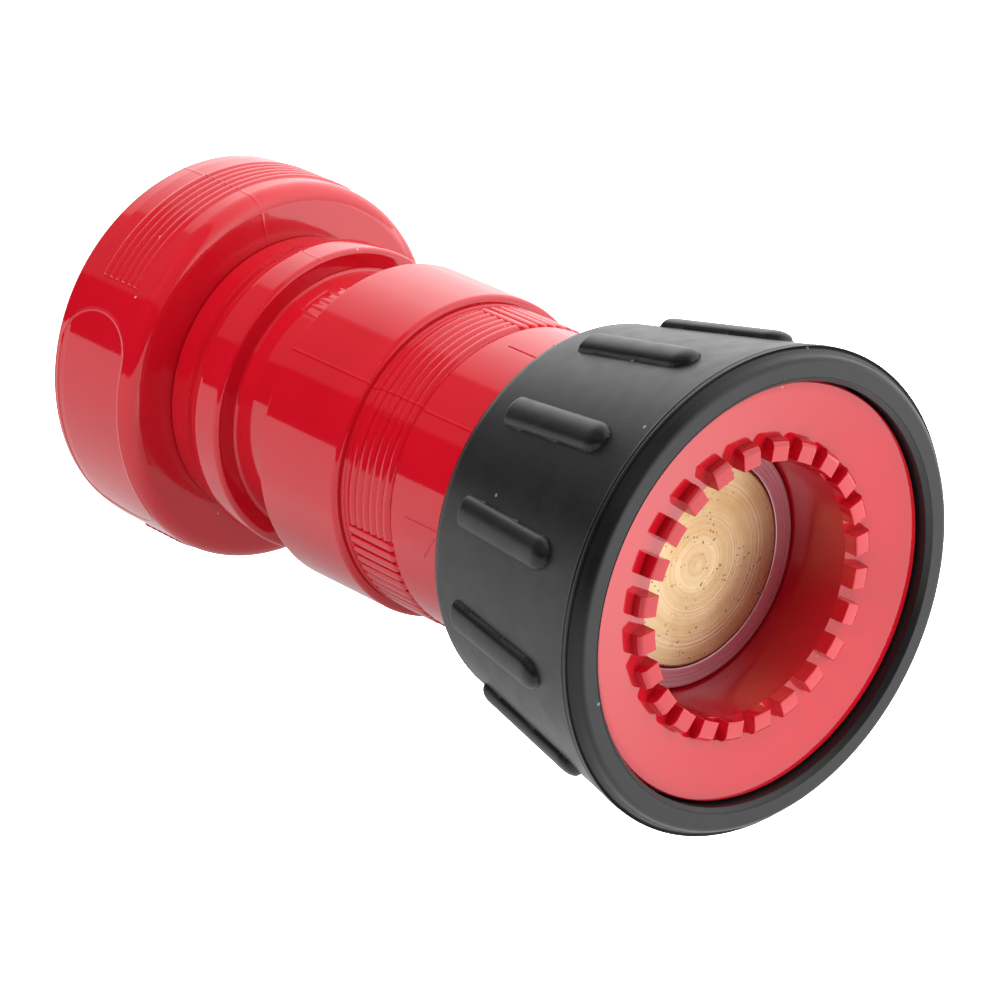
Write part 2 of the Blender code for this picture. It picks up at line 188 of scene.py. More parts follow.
# Ends of the two slanted lines, as (station, angle)
SLANTED = (((89.0, -97.5), (91.9, -88.1)), ((89.4, 1.9), (91.4, -5.0)))
DISH = ((135.3, 21.0), (138.1, 33.8))
RIM_ROUND = 0.4
FLANGE_THICKNESS = 3.6
CUP_R = (20.7, 21.0)            # at its bottom and at its mouth
CUP_REAR = 117.0                # station from which the inside has the cup's duller finish and its red darkened as painted shade
TEETH = 24
TOOTH_TURN = 3.2
TOOTH_TIP = 137.9
TOOTH_R = 24.5
TOOTH_HALF = 1.7
TOOTH_ROUND = 1.3
TOOTH_ROOT = 0.3                # how deep a tooth stands in the dish
TOOTH_BEVEL = 0.22

# Seat ring
SEAT_FACE = 123.9
SEAT_REAR = 118.0
SEAT_R = (13.6, 20.4)
SEAT_LIP = (17.05, 121.7)       # radius of the hole in front and station of the step inside it
SEAT_WAVES = (0.012, 0.7)       # height and pitch of the marks on its face

# Rubber bumper
BUMPER_REAR = 96.8
BUMPER_BORE_R = 26.0
BUMPER_BACK = (28.3, 3.4)       # distance from the axis and radius of its rear rounding
CONE = ((99.5, 31.6), (136.9, 39.2))
LIP_INNER_R = 34.2
LIP_REAR_ROLL = (1.2, 0.95)     # distance of its centre in front of the cone's end, and its radius
LIP_FRONT_ROLL = (3.6, 2.9, 2.85)           # distances of its centre from the front and outside, and radius
LIP_EDGE = (1.0, 37.3)          # radius of the front edge, and the distance of its centre from the axis
LIP_GROOVE = ((0, 35.15), (0.12, 35.0), (0.03, 34.85), (0.7, LIP_INNER_R))      # (depth, radius)
FLANGE_SLOT = (31.5, 34.6)      # radius of the ledge behind the barrel's flange and of the hollow behind it
HOLLOW_END = (104.7, 28.2)
RUBBER_GAP = 0.3                # between the rubber and the flange
RIBS = 12
RIB_TURN = -9.5
RIB_ENDS = (104.4, 129.6)
RIB_TAPERS = (1.1, 3.2)         # length of its round rear and front end
RIB_HALF = 2.65
RIB_HEIGHT = 1.55
RIB_POWER = 0.9                 # 1 makes a rib elliptic in section; less makes it fuller

# Fineness of the meshes: steps round the axis
SIDES_FINE = 1440
SIDES_BODY = 1080
SIDES_MEDIUM = 360
SIDES_RING = 240
SIDES_HUB = 180
SIDES_WASHER = 120

# Studio. The sky's stops are the angle of a direction about Y, from straight up towards +X, and a level.
FLOOR_LIGHT = (2.0, 1.05)       # light of the floor ahead of the nozzle and elsewhere
FLOOR_NEAR_Y = (-0.09, -0.01)   # spans in metres over which the brighter part fades: towards the nozzle,
FLOOR_LEFT_X = (-0.09, 0.01)    # to its left,
FLOOR_FAR_Y = (-0.9, -0.4)      # and far ahead
FLOOR_RIGHT = (0.0, 0.6, 1.6)   # span over which the floor grows brighter to the right, and by how much
FLOOR_UNDER_LIP = (-0.068, 0.00025)         # Y where it passes under the lip, and the gap there, in metres
FLOOR_UNDER_COUPLING = 7.5      # station of the coupling that its slope is worked out for
FLOOR_SEEN = 3.0                # extra light towards the camera, which shows the floor as white
FLOOR_REACH = 6.0
SHADE = (0.62, 0.2, 1.6)        # painted shadow under the nozzle: its level, and the squared ellipse radii where it fades
SHADE_ELLIPSE = (("X", 0.0, 0.045), ("Y", 0.01, 0.075))     # axis, centre and half width in metres
SKY = ((-180, 0.95), (-93.4, 0.95), (-92.2, 0.0), (-51.4, 0.0), (-50.2, 0.22), (-3.4, 0.26),
       (-1.0, 0.8), (18, 1.35), (38, 2.05), (62, 2.1), (80, 1.8), (100, 1.35), (180, 1.1))
SKY_SEEN = 1.3
FILL = ((-0.9, -0.15, 1.15), 0.9, 16.5)     # place in metres, diameter in metres and power in watts

# Camera
CAMERA_AIM = Vector((-0.02594, -0.03749, 0.05225))
CAMERA_DISTANCE = 0.7629
CAMERA_AZIMUTH = -40.54
CAMERA_ELEVATION = 23.52
CAMERA_LENS = 180.0
CAMERA_SENSOR = 36.0


# ---------------------------------------------------------------- geometry

def arc(z, r, radius, start, end, steps):
    """Points on an arc about (z, r); an angle of 0 points forward and 90 outward."""
    angles = np.radians(np.linspace(start, end, steps + 1))
    return [(z + radius * math.cos(a), r + radius * math.sin(a)) for a in angles]


def trace(outline, fine, step, coarse=1.5):
    """A closed outline with points added: step apart inside the boxes in fine, coarse elsewhere. A box is
    (lowest station, highest station, lowest radius, highest radius)."""
    z, r = [], []
    for (z0, r0), (z1, r1) in zip(outline, outline[1:] + outline[:1]):
        pieces = max(1, math.ceil(math.hypot(z1 - z0, r1 - r0) / coarse))
        for k in range(pieces):
            mid_z, mid_r = (a + (b - a) * (k + 0.5) / pieces for a, b in ((z0, z1), (r0, r1)))
            close = any(a <= mid_z <= b and c <= mid_r <= d for a, b, c, d in fine)
            count = max(1, math.ceil(math.hypot(z1 - z0, r1 - r0) / pieces / step)) if close else 1
            for t in (k + np.arange(count) / count) / pieces:
                z.append(z0 + (z1 - z0) * t)
                r.append(r0 + (r1 - r0) * t)
    return np.array(z), np.array(r)


def grid_mesh(name, corners, wrap_rows=True, wrap_columns=True, sharp=35.0):
    """A mesh from a grid of points, rows by columns, joined round either way."""
    rows, columns = corners.shape[:2]
    i = np.arange(rows if wrap_rows else rows - 1)[:, None]
    j = np.arange(columns if wrap_columns else columns - 1)[None, :]
    i2, j2 = (i + 1) % rows, (j + 1) % columns
    quads = np.stack([i * columns + j, i2 * columns + j, i2 * columns + j2, i * columns + j2], -1)
    mesh = bpy.data.meshes.new(name)
    mesh.vertices.add(rows * columns)
    mesh.vertices.foreach_set("co", corners.reshape(-1).astype(np.float32))
    faces = quads.reshape(-1, 4)
    mesh.loops.add(faces.size)
    mesh.loops.foreach_set("vertex_index", faces.reshape(-1).astype(np.int32))
    mesh.polygons.add(len(faces))
    mesh.polygons.foreach_set("loop_start", np.arange(0, faces.size, 4, dtype=np.int32))
    mesh.update(calc_edges=True)
    mesh.shade_smooth()
    mesh.set_sharp_from_angle(angle=math.radians(sharp))
    obj = bpy.data.objects.new(name, mesh)
    bpy.context.scene.collection.objects.link(obj)
    return obj


def world(z, r, theta):
    """Row-frame points in metres from stations, radii and angles."""
    turn = np.radians(theta)
    x, y, up = r * MM * np.sin(turn), HOSE_Y - z * MM + 0 * turn, AXIS_UP + r * MM * np.cos(turn)
    return np.stack([x, y, up], -1)


def lathe(name, outline, sides, shape=None, fine=(), step=0.2):
    """Turns an outline, listed forward along its outer wall, and lets shape move its points."""
    z, r = trace(outline, fine, step)
    theta = np.linspace(0, 360, sides, endpoint=False)
    z, r, theta = (np.array(a) for a in np.broadcast_arrays(z[:, None], r[:, None], theta[None, :]))
    if shape:
        z, r = shape(z, r, theta)
    return grid_mesh(name, world(z, r, theta))


def away(theta, centre):
    """Signed angle from centre, from -180 to 180."""
    return (theta - centre + 180.0) % 360.0 - 180.0


def beside(theta, line):
    """Signed angle from the nearer of two opposite lines, from -90 to 90."""
    return (theta - line + 90.0) % 180.0 - 90.0


def ease(x, low, high):
    """0 below low, 1 above high, and a smooth change between them."""
    t = np.clip((x - low) / (high - low), 0.0, 1.0)
    return t * t * (3 - 2 * t)


def hump(x, half):
    """A half-round ridge of height 1 and the given half width."""
    return np.sqrt(np.clip(1 - (x / half) ** 2, 0.0, 1.0))


def superellipse(x, power):
    """x with its sign kept and its size raised to a power."""
    return np.sign(x) * np.abs(x) ** power


def hair(x, half):
    """A narrow smooth line of height 1."""
    return np.exp(-((x / half) ** 2))


def stroke(z, theta, start, end, radius, half):
    """A line drawn on a cylinder between two (z, theta) points: 1 on it, 0 away from it."""
    x, x0, x1 = (np.radians(a) * radius for a in (theta, start[1], end[1]))
    run = np.array([end[0] - start[0], x1 - x0])
    along = ((z - start[0]) * run[0] + (x - x0) * run[1]) / run.dot(run)
    along = np.clip(along, 0.0, 1.0)
    off = np.hypot(z - start[0] - along * run[0], x - x0 - along * run[1])
    return 1 - ease(off, half * 0.5, half)


def dress(obj, body, slot, made, *nodes):
    """Gives a piece its material and its body, and hides the CAD nodes that it stands for. Its slot
    argument is not used.
    """
    obj.data.materials.append(made)
    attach(obj, body)
    if nodes:
        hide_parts(*nodes)
    return obj


# ---------------------------------------------------------------- materials

UNEVEN = (0.3, 0.7)             # the part of a noise's range that is stretched over a wanted range
RED_COLOURS = ((0.53, 0.0050, 0.014), (0.59, 0.0062, 0.018))
RED_DUST = (0.85, 0.55, 0.55)
RUBBER_COLOURS = ((0.0055, 0.0055, 0.0065), (0.0095, 0.0095, 0.0105))
RUBBER_DUST = (0.35, 0.34, 0.35)
SEAL_COLOURS = ((0.010, 0.010, 0.010), (0.022, 0.022, 0.023))
BRASS_COLOURS = ((0.56, 0.39, 0.21), (0.66, 0.50, 0.31))
BRASS_SMUDGE = (0.46, 0.27, 0.12)
BRASS_MARK = (0.42, 0.26, 0.12)
BRASS_PIT = (0.15, 0.07, 0.025)
STEEL_COLOURS = ((0.46, 0.47, 0.48), (0.62, 0.63, 0.65))
# The seat ring is pale plastic. These mauve-red colours are painted red bounce light from the cup round it.
SEAT_PAINTED_RED_BOUNCE_COLOURS = ((0.38, 0.085, 0.11), (0.46, 0.11, 0.14))


class Graph:
    """A material's node tree, with short ways to add nodes."""

    def __init__(self, name):
        self.made = bpy.data.materials.new(name)
        self.made.use_nodes = True
        self.tree = self.made.node_tree
        self.shader = self.tree.nodes["Principled BSDF"]
        self.place = self.tree.nodes.new("ShaderNodeTexCoord").outputs["Object"]

    def node(self, kind, settings=None, **inputs):
        """Adds a node. An input is given by its name, or by i and its number."""
        made = self.tree.nodes.new(kind)
        for key, value in (settings or {}).items():
            setattr(made, key, value)
        for key, value in inputs.items():
            socket = made.inputs[int(key[1:])] if key[0] == "i" and key[1:].isdigit() else made.inputs[key]
            if isinstance(value, bpy.types.NodeSocket):
                self.tree.links.new(value, socket)
            else:
                socket.default_value = value
        return made

    def maths(self, operation, a, b=0.0):
        return self.node("ShaderNodeMath", {"operation": operation}, i0=a, i1=b).outputs[0]

    def noise(self, scale, detail=2.0, vector=None):
        source = vector if vector is not None else self.place
        return self.node("ShaderNodeTexNoise", Vector=source, Scale=scale, Detail=detail).outputs["Fac"]

    def spread(self, value, low, high, to_low, to_high):
        """Stretches value from low..high to to_low..to_high, and keeps it inside."""
        inputs = {"Value": value, "From Min": low, "From Max": high, "To Min": to_low, "To Max": to_high}
        return self.node("ShaderNodeMapRange", **inputs).outputs["Result"]

    def specks(self, scale, size, share):
        """Small scattered spots: 1 inside one, 0 elsewhere. Only a share of the cells has one."""
        cell = self.node("ShaderNodeTexVoronoi", Vector=self.place, Scale=scale)
        spot = self.maths("LESS_THAN", cell.outputs["Distance"], size)
        draw = self.node("ShaderNodeSeparateColor", i0=cell.outputs["Color"]).outputs[0]
        kept = self.maths("LESS_THAN", draw, share)
        return self.maths("MULTIPLY", spot, kept)

    def mix(self, factor, a, b):
        made = self.node("ShaderNodeMix", {"data_type": "RGBA"}, Factor=factor)
        for socket, value in ((made.inputs[6], a), (made.inputs[7], b)):
            if isinstance(value, bpy.types.NodeSocket):
                self.tree.links.new(value, socket)
            else:
                socket.default_value = (*value, 1.0)
        return made.outputs[2]

    def bump(self, height, distance, strength=1.0):
        return self.node("ShaderNodeBump", Height=height, Distance=distance, Strength=strength).outputs[0]

    def finish(self, **inputs):
        for key, value in inputs.items():
            socket = self.shader.inputs[key.replace("_", " ")]
            if isinstance(value, bpy.types.NodeSocket):
                self.tree.links.new(value, socket)
            else:
                socket.default_value = value
        return self.made


def red_polycarbonate(name, smooth, dull, painted_shade_tone):
    """Glossy red plastic whose roughness varies from smooth to dull. Its colours are multiplied by the last
    argument, which paints shade where it is below 1.
    """
    deep, light = (tuple(part * painted_shade_tone for part in colour) for colour in RED_COLOURS)
    g = Graph(name)
    flow = g.noise(38.0, 3.0)
    colour = g.mix(g.spread(flow, 0.35, 0.65, 0.0, 1.0), deep, light)
    dust = g.specks(260.0, 0.055, 0.10)
    colour = g.mix(g.maths("MULTIPLY", dust, 0.55), colour, RED_DUST)
    haze = g.spread(g.noise(900.0, 4.0), *UNEVEN, smooth, dull)
    rough = g.maths("ADD", haze, g.maths("MULTIPLY", dust, 0.4))
    skin = g.bump(g.noise(140.0, 2.0), 0.00004, 0.35)
    return g.finish(Base_Color=colour, Roughness=rough, IOR=1.58, Normal=skin)


def black_rubber():
    """Satin rubber with a faint bloom, a fine grain and dust."""
    g = Graph("bumper_rubber")
    bloom = g.spread(g.noise(60.0, 5.0), *UNEVEN, 0.0, 1.0)
    colour = g.mix(bloom, *RUBBER_COLOURS)
    dust = g.specks(230.0, 0.07, 0.12)
    colour = g.mix(g.maths("MULTIPLY", dust, 0.6), colour, RUBBER_DUST)
    rough = g.spread(g.noise(300.0, 4.0), *UNEVEN, 0.30, 0.38)
    grain = g.bump(g.noise(2600.0, 3.0), 0.00003, 0.5)
    return g.finish(Base_Color=colour, Roughness=rough, IOR=1.42, Normal=grain)


def seal_rubber():
    g = Graph("seal_rubber")
    colour = g.mix(g.noise(500.0, 4.0), *SEAL_COLOURS)
    rough = g.spread(g.noise(240.0), *UNEVEN, 0.35, 0.5)
    grain = g.bump(g.noise(1800.0, 3.0), 0.00003, 0.4)
    return g.finish(Base_Color=colour, Roughness=rough, Normal=grain)


def turned_rings(g, scale):
    """Noise in rings round the flow axis, like lathe marks. It changes more slowly along the axis."""
    split = g.node("ShaderNodeSeparateXYZ", Vector=g.place)
    up = g.maths("SUBTRACT", split.outputs["Z"], AXIS_UP)
    squares = g.maths("ADD", g.maths("POWER", split.outputs["X"], 2.0), g.maths("POWER", up, 2.0))
    along = g.maths("MULTIPLY", split.outputs["Y"], 0.4)
    ring = g.node("ShaderNodeCombineXYZ", X=g.maths("SQRT", squares), Y=along)
    return g.noise(scale, 4.0, ring.outputs[0])


def turned_brass():
    """Brass with turning marks, smudges and clusters of small dark pits."""
    g = Graph("turned_brass")
    marks = turned_rings(g, 2600.0)
    wide = turned_rings(g, 420.0)
    colour = g.mix(g.spread(wide, 0.35, 0.65, 0.0, 1.0), *BRASS_COLOURS)
    colour = g.mix(g.spread(g.noise(70.0, 6.0), 0.46, 0.68, 0.0, 0.75), colour, BRASS_SMUDGE)
    colour = g.mix(g.spread(marks, 0.56, 0.72, 0.0, 0.45), colour, BRASS_MARK)
    clusters = g.spread(g.noise(160.0, 2.0), 0.48, 0.56, 0.0, 1.0)
    ragged = g.spread(g.noise(1300.0, 4.0), 0.64, 0.68, 0.0, 1.0)
    small = g.maths("MAXIMUM", ragged, g.specks(1500.0, 0.22, 0.22))
    pits = g.maths("MAXIMUM", g.maths("MULTIPLY", small, clusters), g.specks(420.0, 0.08, 0.08))
    colour = g.mix(g.maths("MULTIPLY", pits, 0.85), colour, BRASS_PIT)
    rough = g.maths("ADD", g.spread(marks, *UNEVEN, 0.36, 0.50), g.maths("MULTIPLY", pits, 0.3))
    normal = g.bump(g.maths("SUBTRACT", marks, pits), 0.00006, 0.6)
    round_axis = g.node("ShaderNodeTangent", {"direction_type": "RADIAL", "axis": "Y"}).outputs[0]
    return g.finish(Base_Color=colour, Roughness=rough, Metallic=1.0, Normal=normal, Anisotropic=0.45,
                    Tangent=round_axis)


def spring_steel():
    g = Graph("spring_steel")
    marks = turned_rings(g, 1800.0)
    rough = g.spread(marks, *UNEVEN, 0.2, 0.36)
    return g.finish(Base_Color=g.mix(marks, *STEEL_COLOURS), Roughness=rough, Metallic=1.0,
                    Normal=g.bump(marks, 0.00003, 0.4))


def seat_plastic():
    """Smooth pale plastic with a strong gloss. Its mauve-red colours are painted red bounce light from the
    cup round it.
    """
    g = Graph("seat_plastic")
    marks = turned_rings(g, 1500.0)
    colour = g.mix(g.noise(120.0, 3.0), *SEAT_PAINTED_RED_BOUNCE_COLOURS)
    rough = g.spread(marks, *UNEVEN, 0.22, 0.34)
    return g.finish(Base_Color=colour, Roughness=rough, Coat_Weight=1.0, Coat_IOR=2.2, Coat_Roughness=0.10,
                    Normal=g.bump(marks, 0.00003, 0.3))


# The cup's red is duller, and it is darkened a little as painted shade deep inside the cup.
RED = red_polycarbonate("red_polycarbonate", 0.045, 0.085, 1.0)
CUP_RED_PAINTED_SHADE = red_polycarbonate("red_polycarbonate_cup_painted_shade", 0.15, 0.20, 0.84)
RUBBER = black_rubber()
SEAL = seal_rubber()
BRASS = turned_brass()
STEEL = spring_steel()
SEAT = seat_plastic()


# ---------------------------------------------------------------- pieces

def swivel_coupling():
    round_z, round_r = SHOULDER
    room_z, room_r = RING_ROOM
    gasket_z, gasket_r = GASKET_ROOM
    outline = list(COUPLING_REAR)
    outline += arc(round_z, COUPLING_R - round_r, round_r, 90, SHOULDER_END, 16)
    outline += [(COUPLING_FRONT, FLAT_R), (COUPLING_FRONT, TAIL_HOLE_R + 0.3)]
    outline += [(COUPLING_FRONT - 0.3, TAIL_HOLE_R), (room_z, TAIL_HOLE_R), (room_z, room_r)]
    outline += [(gasket_z, room_r), (gasket_z, gasket_r), (THREAD_END, gasket_r), (THREAD_END, THREAD_R)]
    outline += [(0.6, THREAD_R), (0, THREAD_R + 1.6)]

    def shape(z, r, theta):
        outer = (r > gasket_r + 0.8) & (z > 0.5)
        around = np.abs(beside(theta, MOULD_LINE))
        count, first, pitch = RIDGES
        height, half = RIDGE_SHAPE
        ridge = height * sum(hump(z - first - k * pitch, half) for k in range(count))
        ridge *= 1 - ease(around, RIDGE_ARC - 0.5, RIDGE_ARC)
        side = np.radians(np.abs(beside(theta, PANEL[1]))) * COUPLING_R
        end = np.clip(side - PANEL_HALF[1] + PANEL_END, 0, None) / PANEL_END
        oval = np.hypot(end, (z - PANEL[0]) / PANEL_HALF[0])
        rim, field = PANEL_RELIEF
        panel = rim * hair(oval - 1, 0.035) - field * (1 - ease(oval, 0.95, 1.0))
        seam = MOULD_SEAM[0] * hair(around, MOULD_SEAM[1])
        r = r + outer * (ridge + panel + seam)
        face = (z > round_z + round_r - 0.1) & (r < COUPLING_R - round_r + 0.4)
        z = z + face * seam
        thread = (r < THREAD_R + 0.4) & (z > THREAD_START) & (z < THREAD_END - 0.05)
        turn = (z / THREAD_PITCH + theta / 360.0) % 1.0
        crest = np.clip(THREAD_FORM[0] * np.abs(2 * turn - 1) - THREAD_FORM[1], -1, 1)
        run_in = ease(z, THREAD_START, THREAD_START + 1.5)
        run_out = 1 - ease(z, THREAD_END - 1.8, THREAD_END - 0.3)
        r = r + thread * run_in * run_out * crest * THREAD_DEPTH / 2
        return z, r

    fine = [(0.9, COUPLING_FRONT + 0.1, 26.5, COUPLING_R + 1), (0.5, THREAD_END, 24.0, 25.0)]
    made = lathe("coupling_ring", outline, SIDES_FINE, shape, fine, 0.13)
    dress(made, "coupling", "red_polycarbonate", RED, "swivel_coupling")


def hose_gasket():
    rear, front, inner, outer = GASKET
    edge = GASKET_ROUND
    outline = arc(rear + edge, outer - edge, edge, 180, 90, 4)
    outline += arc(front - edge, outer - edge, edge, 90, 0, 4)
    outline += arc(front - edge, inner + edge, edge, 0, -90, 4)
    outline += arc(rear + edge, inner + edge, edge, -90, -180, 4)

    def shape(z, r, theta):
        count, first, pitch, height, half = GASKET_BEADS
        beads = sum(hair(r - first - pitch * k, half) for k in range(count))
        return z - height * beads * (z < rear + 0.4), r

    made = lathe("gasket", outline, SIDES_MEDIUM, shape, [(13, 14, 18, 26)], 0.15)
    dress(made, "coupling", "seal_rubber", SEAL, "hose_gasket")


def snap_ring():
    """Flat wire in the body's groove, with a gap between its ends."""
    around, along = SNAP_SIDES
    ring = np.linspace(SNAP_GAP, 360 - SNAP_GAP, along)[None, :]
    section = np.radians(np.linspace(0, -360, around, endpoint=False))[:, None]
    z = SNAP_RING[0] + SNAP_WIRE[0] * np.sin(section) + 0 * ring
    r = SNAP_RING[1] + SNAP_WIRE[1] * np.cos(section) + 0 * ring
    made = grid_mesh("snap_ring", world(z, r, ring + 0 * section), wrap_columns=False)
    close_ends(made, around, along)
    dress(made, "body", "spring_steel", STEEL, "coupling_snap_ring")


def close_ends(obj, rows, columns):
    """Caps the two open ends of a tube made by grid_mesh."""
    bm = bmesh.new()
    bm.from_mesh(obj.data)
    bm.verts.ensure_lookup_table()
    bm.faces.new([bm.verts[i * columns] for i in range(rows)])
    bm.faces.new([bm.verts[i * columns + columns - 1] for i in reversed(range(rows))])
    bmesh.ops.recalc_face_normals(bm, faces=bm.faces)
    bm.to_mesh(obj.data)
    bm.free()


def nozzle_body():
    rear, crest, front = COLLAR_Z
    low, high = COLLAR_R
    groove_rear, groove_front, groove_r = RING_GROOVE
    outline = [(BODY_REAR, BORE_R + 0.8), (BODY_REAR, TAIL_R - 0.3), (BODY_REAR + 0.3, TAIL_R)]
    outline += [(groove_rear, TAIL_R), (groove_rear, groove_r), (groove_front, groove_r)]
    outline += [(groove_front, TAIL_R), (rear, TAIL_R)]
    outline += arc(rear + 0.2, low - 0.2, 0.2, 180, 90, 4)
    swell_z, swell_r = SWELL_START
    for t in np.arange(1, SWELL_STEPS + 1) / SWELL_STEPS:
        outline.append((swell_z + (crest - swell_z) * t, swell_r + (high - swell_r) * ease(t, 0, 1)))
    outline += arc(front - COLLAR_ROUND, high - COLLAR_ROUND, COLLAR_ROUND, 90, 0, 8)
    outline += arc(front + COLLAR_FILLET, NECK_R + COLLAR_FILLET, COLLAR_FILLET, 180, 270, 6)
    outline += [(LAND[0] - 1.5, NECK_R), LAND, (BODY_END - 0.8, LAND[1])]
    outline += [(BODY_END, LAND[1] - 0.8), (BODY_END, BORE_R + 0.6), (BODY_END - 0.8, BORE_R)]
    outline += [(BODY_REAR + 0.8, BORE_R)]

    def shape(z, r, theta):
        outer = (r > NECK_R - 0.2) & (z > rear)
        seam = BODY_SEAM[0] * hair(beside(theta, MOULD_LINE), BODY_SEAM[1])
        side = away(theta, PLATE[1])
        plate = np.maximum(np.abs(z - PLATE[0]) - PLATE_HALF[0],
                           np.radians(np.abs(side)) * NECK_R - PLATE_HALF[1])
        bar, pitch, half = PLATE_BARS
        mark = PLATE_RIM[0] * hair(plate, PLATE_RIM[1])
        mark += bar * (plate < -PLATE_MARGIN) * hump(side % pitch - pitch / 2, half)
        start, end = SCREW
        depth, pitch, half = SCREW_GROOVE
        groove = depth * hump(((z - start) / pitch + theta / 360.0) % 1.0 - 0.5, half)
        groove *= ease(z, start, start + 1.5) * (1 - ease(z, end - 2, end))
        return z, r + outer * (seam + mark * (z < start - 2) - groove)

    fine = [(rear, 47, 22.0, 27.0), (SCREW[0], SCREW[1] + 1.5, 22.0, 22.8)]
    made = lathe("body_shell", outline, SIDES_BODY, shape, fine, 0.2)
    dress(made, "body", "red_polycarbonate", RED, "nozzle_body")

    start, end, hub_r = HUB
    outline = arc(start + HUB_ROUND, hub_r - HUB_ROUND, HUB_ROUND, 180, 90, 8)
    outline += arc(end - HUB_ROUND, hub_r - HUB_ROUND, HUB_ROUND, 90, 0, 8)
    outline += [(end, HUB_HOLE_R), (start, HUB_HOLE_R)]
    dress(lathe("stem_hub", outline, SIDES_HUB), "body", "red_polycarbonate", RED)
    for k in range(VANES):
        vane(k)


def vane(k):
    """A thin blade from the hub to the bore, rounded at its leading and trailing edges."""
    rows, columns = VANE_SIDES
    around = np.radians(np.linspace(0, 360, rows, endpoint=False))[:, None]
    reach = np.linspace(0, 1, columns)[None, :]
    start, end, hub_r = HUB
    root, tip = hub_r - VANE_ROOTS[0], BORE_R + VANE_ROOTS[1]
    radius = root + (tip - root) * reach
    flare = 1 + VANE_FLARE * (2 * reach - 1) ** 6
    across = VANE_HALF[1] * superellipse(np.sin(around), VANE_POWERS[1]) * flare
    z = (start + end) / 2 + VANE_HALF[0] * superellipse(np.cos(around), VANE_POWERS[0]) + 0 * reach
    theta = np.degrees(np.arctan2(across, radius + 0 * across)) + 360.0 * k / VANES
    made = grid_mesh(f"vane_{k + 1}", world(z, np.hypot(radius, across), theta), wrap_columns=False)
    close_ends(made, rows, columns)
    dress(made, "body", "red_polycarbonate", RED)


def baffle_stem():
    collar_z = HUB[1] + STACK_GAP
    collar_r, thickness = STEM_COLLAR
    groove_rear, groove_front, groove_r = PLUG_GROOVE
    chamfer_r = STEM_R - STEM_CHAMFER
    outline = [(STEM_REAR, CENTRE_R), (STEM_REAR, chamfer_r), (STEM_REAR + STEM_CHAMFER, STEM_R)]
    outline += [(collar_z, STEM_R), (collar_z, collar_r - 0.3), (collar_z + 0.3, collar_r)]
    outline += [(collar_z + thickness - 0.3, collar_r), (collar_z + thickness, collar_r - 0.3)]
    outline += [(collar_z + 4, SHAFT_R), (108.7, SHAFT_R)]
    outline += arc(*PLUG_BACK, 180, 115, 10)[1:] + [(116.9, PLUG_R - 0.3), (117.3, PLUG_R)]
    outline += [(groove_rear, PLUG_R), (groove_rear, groove_r), (groove_front, groove_r)]
    outline += [(groove_front, PLUG_R), (DISC_BACK[0], PLUG_R), DISC_BACK]
    outline += arc(DISC_FACE - DISC_ROUND, DISC_R - DISC_ROUND, DISC_ROUND, 90, 0, 5)
    outline += [(DISC_FACE, CENTRE_R)]

    def shape(z, r, theta):
        face = (z > DISC_FACE - 0.05) & (r < DISC_R - 0.6)
        height, pitch = FEED_MARKS
        feed = height * np.sin(r * 2 * math.pi / pitch)
        depth, ring_r, half = FEED_RING
        feed -= depth * hair(r - ring_r, half) + CENTRE_MARK[0] * hair(r, CENTRE_MARK[1])
        start, end, pitch, depth = STEM_SCREW
        screw = (z > start) & (z < end) & (r > STEM_R - 0.1)
        turn = (z / pitch + theta / 360.0) % 1.0
        return z + face * feed, r - screw * depth * np.abs(2 * turn - 1)

    fine = [(DISC_FACE - 0.2, DISC_FACE + 0.2, 0.0, 16.5), (55.8, 83.0, STEM_R - 0.1, STEM_R + 0.1)]
    made = lathe("stem_and_disc", outline, SIDES_MEDIUM, shape, fine, 0.14)
    dress(made, "body", "turned_brass", BRASS, "baffle_stem")


def stem_fixings():
    """The washer and the hexagonal nut behind the hub."""
    thickness, radius, hole = WASHER
    front = HUB[0] - STACK_GAP
    rear = front - thickness
    outline = arc(rear + 0.3, radius - 0.3, 0.3, 180, 90, 3) + arc(front - 0.3, radius - 0.3, 0.3, 90, 0, 3)
    outline += [(front, hole), (rear, hole)]
    dress(lathe("washer", outline, SIDES_WASHER), "body", "turned_brass", BRASS, "stem_washer")

    height, corner, hole = NUT
    chamfer, chamfer_r = NUT_CHAMFER
    front = rear - STACK_GAP
    rear = front - height
    outline = [(rear, hole + 0.4), (rear, chamfer_r), (rear + chamfer, corner), (front - chamfer, corner)]
    outline += [(front, chamfer_r), (front, hole), (rear + 0.5, hole)]

    def shape(z, r, theta):
        flat = NUT_FLAT / np.cos(np.radians((theta + 30.0) % 60.0 - 30.0))
        return z, np.where(r > hole + 1, np.minimum(r, flat), r)

    made = lathe("nut", outline, SIDES_MEDIUM, shape, [(50, 65, 5.0, 8.0)], 0.2)
    dress(made, "body", "turned_brass", BRASS, "stem_nut")


def o_ring(name, node, body, size):
    """A rubber ring of round section with a fine flash line round its outside."""
    centre, inner, outer = size
    middle = (inner + outer) / 2
    outline = arc(centre, middle, (outer - inner) / 2, 180, -165, 23)

    def shape(z, r, theta):
        return z, r + FLASH[0] * hair(z - centre, FLASH[1]) * (r > middle)

    dress(lathe(name, outline, SIDES_RING, shape), body, "seal_rubber", SEAL, node)


def dish(r):
    """Station of the flange's dished front face at radius r."""
    (z0, r0), (z1, r1) = DISH
    return z0 + (z1 - z0) * (r - r0) / (r1 - r0)


def behind_flange(r):
    """Station of the flange's rear face at radius r."""
    return dish(r) - FLANGE_THICKNESS


